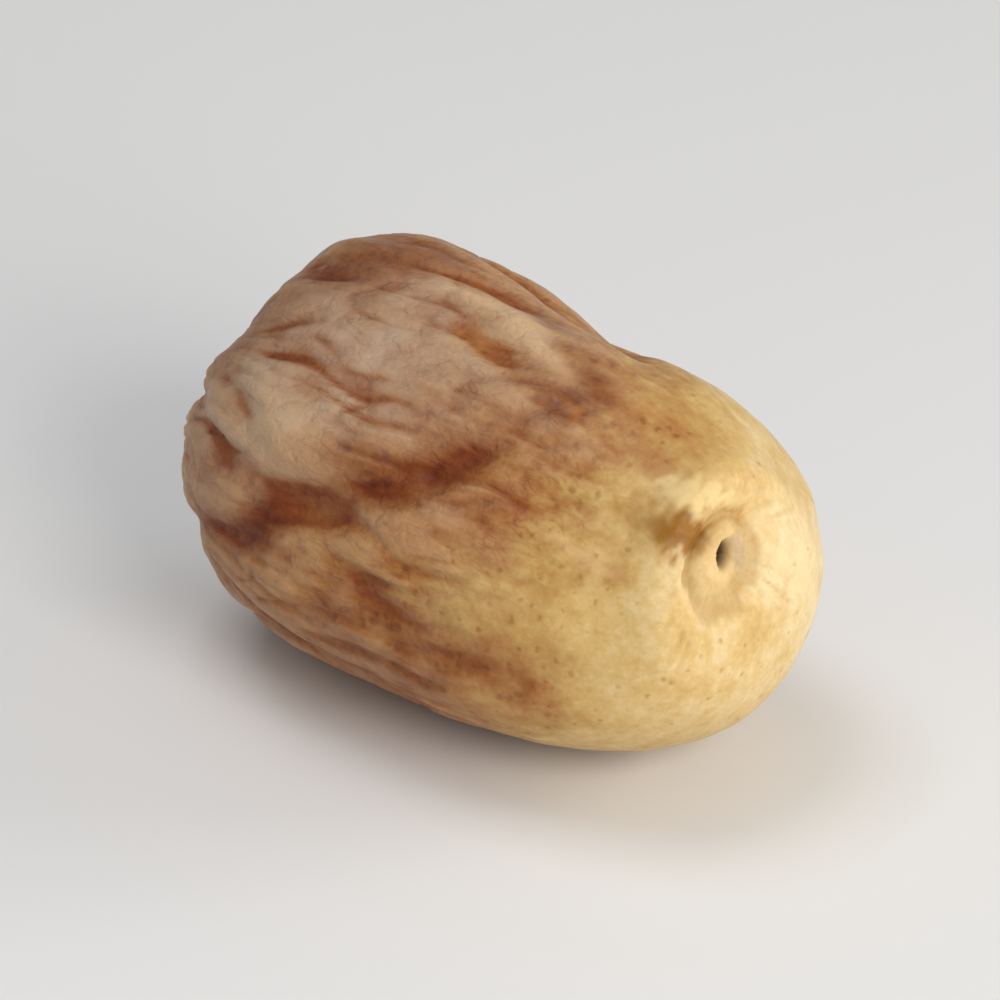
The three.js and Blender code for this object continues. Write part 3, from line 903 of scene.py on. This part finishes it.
def freckled(tree, place, tone, colour):
    """The colour with dots. Noise makes them uneven and leaves some out, and there are more of
    them where the skin is riper."""
    dots = node(
        tree, "ShaderNodeTexVoronoi",
        Vector=place, Scale=cells_per_metre(FRECKLES.spacing), Detail=0,
    )
    uneven = node(
        tree, "ShaderNodeTexNoise",
        Vector=place, Scale=cells_per_metre(FRECKLES.uneven_size),
        Detail=FRECKLES.detail, Roughness=FRECKLES.roughness,
    )
    for layer, reach in ((uneven, FRECKLES.uneven), (tone, -FRECKLES.more_on_ripe)):
        dots = node(
            tree, "ShaderNodeMath", {"operation": "MULTIPLY_ADD"}, Value=[layer, reach, dots]
        )
    share = node(
        tree, "ShaderNodeMapRange", {"interpolation_type": "SMOOTHSTEP"}, Value=dots,
        From_Min=FRECKLES.middle, From_Max=FRECKLES.edge, To_Min=FRECKLES.strength, To_Max=0.0,
    )
    return node(
        tree, "ShaderNodeMix", {"data_type": "RGBA", "blend_type": "MULTIPLY"},
        Factor=share, A=colour, B=linear(FRECKLES.colour),
    )


def crease_net(tree, place, longish, mottling, dryness):
    """Net of fine creases in the ripe skin: the borders of cells that are longer than wide and
    bent by a noise."""
    bend = node(
        tree, "ShaderNodeTexNoise",
        Vector=place, Scale=cells_per_metre(NET.bend_size), Detail=NET.bend_detail,
    )
    bent = node(
        tree, "ShaderNodeVectorMath", {"operation": "MULTIPLY_ADD"},
        Vector=[bend.outputs["Color"], (NET.bend * MM,) * 3, longish],
    )
    net = 0.0
    for size, depth in NET.layers:
        edges = node(
            tree, "ShaderNodeTexVoronoi", {"feature": "DISTANCE_TO_EDGE"},
            Vector=bent, Scale=cells_per_metre(size),
        )
        edges = node(
            tree, "ShaderNodeMapRange", {"interpolation_type": "SMOOTHSTEP"},
            Value=edges, From_Min=0.0, From_Max=NET.crease_width, To_Min=depth, To_Max=0.0,
        )
        net = node(tree, "ShaderNodeMath", {"operation": "ADD"}, Value=[edges, net])
    patchy = node(
        tree, "ShaderNodeMapRange", {"interpolation_type": "SMOOTHSTEP"}, Value=mottling,
        From_Min=NET.patches[0], From_Max=NET.patches[1], To_Min=NET.least, To_Max=1.0,
    )
    net = node(tree, "ShaderNodeMath", {"operation": "MULTIPLY"}, Value=[net, patchy])
    return node(tree, "ShaderNodeMath", {"operation": "MULTIPLY"}, Value=[net, dryness])


def layered(tree, marks, colour):
    """The colour with each mark's own laid over it."""
    for mark, strength, blend, hex_colour in LAYERS:
        share = node(
            tree, "ShaderNodeMath", {"operation": "MULTIPLY"}, Value=[marks[mark], strength]
        )
        colour = node(
            tree, "ShaderNodeMix", {"data_type": "RGBA", "blend_type": blend},
            Factor=share, A=colour, B=linear(hex_colour),
        )
    return colour


def uneven_roughness(tree, marks, mottling):
    """Satin and uneven: glossier on the ripe skin, duller in the creases and in the bloom."""
    rough = node(
        tree, "ShaderNodeMapRange", Value=mottling,
        From_Min=ROUGHNESS.mottling[0], From_Max=ROUGHNESS.mottling[1],
        To_Min=ROUGHNESS.least, To_Max=ROUGHNESS.most,
    )
    for mark, rougher in ROUGHER:
        rough = node(
            tree, "ShaderNodeMath", {"operation": "MULTIPLY_ADD"},
            Value=[marks[mark], rougher, rough],
        )
    return rough


def fine_bumps(tree, place, lengthwise, net):
    """Shallow grooves along the fruit, the net of creases, and pores. The pores are drawn a few
    tenths of a millimetre wide, coarser than real ones, so that they show."""
    grooves = node(
        tree, "ShaderNodeTexNoise", {"noise_type": "RIDGED_MULTIFRACTAL"},
        Vector=lengthwise, Scale=cells_per_metre(GROOVES.size),
        Detail=GROOVES.detail, Roughness=GROOVES.roughness,
    )
    pores = node(
        tree, "ShaderNodeTexNoise",
        Vector=place, Scale=cells_per_metre(PORES.size),
        Detail=PORES.detail, Roughness=PORES.roughness,
    )
    bump = None
    layers = ((GROOVES, grooves, False), (NET_BUMP, net, True), (PORES, pores, False))
    for kind, height, inverted in layers:
        below = {} if bump is None else {"Normal": bump}
        bump = node(
            tree, "ShaderNodeBump", {"invert": inverted},
            Height=height, Strength=kind.strength, Distance=kind.depth * MM, **below,
        )
    return bump


def date_skin_material(mark_names):
    """Skin of a semi-dry date: a thin waxy cuticle over sugary flesh. The eye gets a satin gloss
    that breaks up on the crinkles, light that goes a little way into the flesh, and colour that
    is mottled at every size, from patches to pinprick freckles."""
    material = bpy.data.materials.new("semi_dry_date_skin")
    material.use_nodes = True
    tree = material.node_tree
    tree.nodes.clear()
    place = node(tree, "ShaderNodeTexCoord").outputs["Object"]
    lengthwise = node(tree, "ShaderNodeMapping", Vector=place, Scale=LONG)
    longish = node(tree, "ShaderNodeMapping", Vector=place, Scale=LONGISH)
    marks = {
        name: node(tree, "ShaderNodeAttribute", {"attribute_name": name}).outputs["Fac"]
        for name in mark_names
    }
    tone, mottling = mottled_tone(tree, place, lengthwise, marks["tone"])
    marks["net"] = crease_net(tree, place, longish, mottling, marks["dryness"])
    colour = freckled(tree, place, marks["tone"], colour_of_tone(tree, tone))
    shader = node(
        tree, "ShaderNodeBsdfPrincipled",
        Base_Color=layered(tree, marks, colour), Roughness=uneven_roughness(tree, marks, mottling),
        IOR=1.4, Specular_IOR_Level=0.35,
        Subsurface_Weight=0.15, Subsurface_Radius=(1.0, 0.4, 0.15), Subsurface_Scale=0.8 * MM,
        Coat_Weight=0.08, Coat_Roughness=0.3, Sheen_Weight=0.03, Sheen_Roughness=0.4,
        Normal=fine_bumps(tree, place, lengthwise, marks["net"]),
    )
    node(tree, "ShaderNodeOutputMaterial", Surface=shader)
    return material


def make_date():
    """The whole fruit as one closed skin, with what the material reads stored on its points."""
    points, station, angle, body, height = skin_surface()
    mesh = bpy.data.meshes.new("date_skin")
    mesh.from_pydata((points * MM).tolist(), [], skin_faces())
    mesh.polygons.foreach_set("use_smooth", np.ones(len(mesh.polygons), bool))
    marks = skin_marks(station, angle, body, height)
    for name, values in marks.items():
        layer = mesh.attributes.new(name, "FLOAT", "POINT")
        layer.data.foreach_set("value", np.clip(values, 0, 1).astype(np.float32))
    mesh.update()
    mesh.materials.append(date_skin_material(marks))
    date = bpy.data.objects.new("date", mesh)
    bpy.context.scene.collection.objects.link(date)
    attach(date, "root")
    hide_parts("date_fruit")


# Studio: lengths are in metres, angles in degrees and powers in watts

FLOOR = Sizes(half=1.5, colour="#E8E8E8", roughness=0.8)
AIR = Sizes(colour="#F4F6F8", strength=0.3)
VIEW = Sizes(azimuth=43, elevation=28, distance=0.5, field=0.053)
# Lights: name, offset from the fruit's middle, size, power, colour
LIGHTS = (
    ("key", (0.4, -0.14, 0.22), 0.24, 1.62, "#FFFAF4"),
    ("top", (-0.12, -0.06, 0.46), 0.26, 0.65, "#FFFFFF"),
    ("rim", (0.3, 0.34, 0.12), 0.24, 0.9, "#FFFFFF"),
)


def make_floor():
    """A square of matt off-white paper under the fruit."""
    quarters = ((-1, -1), (1, -1), (1, 1), (-1, 1))
    corners = [(x * FLOOR.half, y * FLOOR.half, 0) for x, y in quarters]
    mesh = bpy.data.meshes.new("floor")
    mesh.from_pydata(corners, [], [(0, 1, 2, 3)])
    material = bpy.data.materials.new("matt_paper")
    material.use_nodes = True
    shader = material.node_tree.nodes["Principled BSDF"]
    shader.inputs["Base Color"].default_value = linear(FLOOR.colour)
    shader.inputs["Roughness"].default_value = FLOOR.roughness
    mesh.materials.append(material)
    floor = bpy.data.objects.new("floor", mesh)
    bpy.context.scene.collection.objects.link(floor)


def aim(thing, target):
    """Turns a light or camera to look at the target."""
    thing.rotation_mode = "QUATERNION"
    thing.rotation_quaternion = (Vector(target) - thing.location).to_track_quat("-Z", "Y")


def make_light(name, target, offset, size, power, colour):
    """A square soft light, at an offset from its target."""
    light = bpy.data.lights.new(name, "AREA")
    light.size = size
    light.energy = power
    light.color = linear(colour)[:3]
    made = bpy.data.objects.new(name, light)
    made.location = target + Vector(offset)
    bpy.context.scene.collection.objects.link(made)
    aim(made, target)


def make_camera(target):
    """A long lens at the photograph's viewing angle. The field is what the frame spans at the
    fruit."""
    azimuth = math.radians(VIEW.azimuth)
    elevation = math.radians(VIEW.elevation)
    towards = Vector((
        math.sin(azimuth) * math.cos(elevation),
        -math.cos(azimuth) * math.cos(elevation),
        math.sin(elevation),
    ))
    lens = bpy.data.cameras.new("camera")
    lens.lens = lens.sensor_width * VIEW.distance / VIEW.field
    camera = bpy.data.objects.new("camera", lens)
    camera.location = target + towards * VIEW.distance
    bpy.context.scene.collection.objects.link(camera)
    aim(camera, target)
    bpy.context.scene.camera = camera


def make_studio_air():
    """Even pale light from all round."""
    world = bpy.data.worlds.new("studio_air")
    world.use_nodes = True
    background = world.node_tree.nodes["Background"]
    background.inputs["Color"].default_value = linear(AIR.colour)
    background.inputs["Strength"].default_value = AIR.strength
    bpy.context.scene.world = world
    bpy.context.scene.view_settings.view_transform = "Standard"


lowest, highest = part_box("date_fruit")
middle = (lowest + highest) / 2
make_camera(middle)
make_date()
make_floor()
make_studio_air()
for name, offset, size, power, colour in LIGHTS:
    make_light(name, middle, offset, size, power, colour)
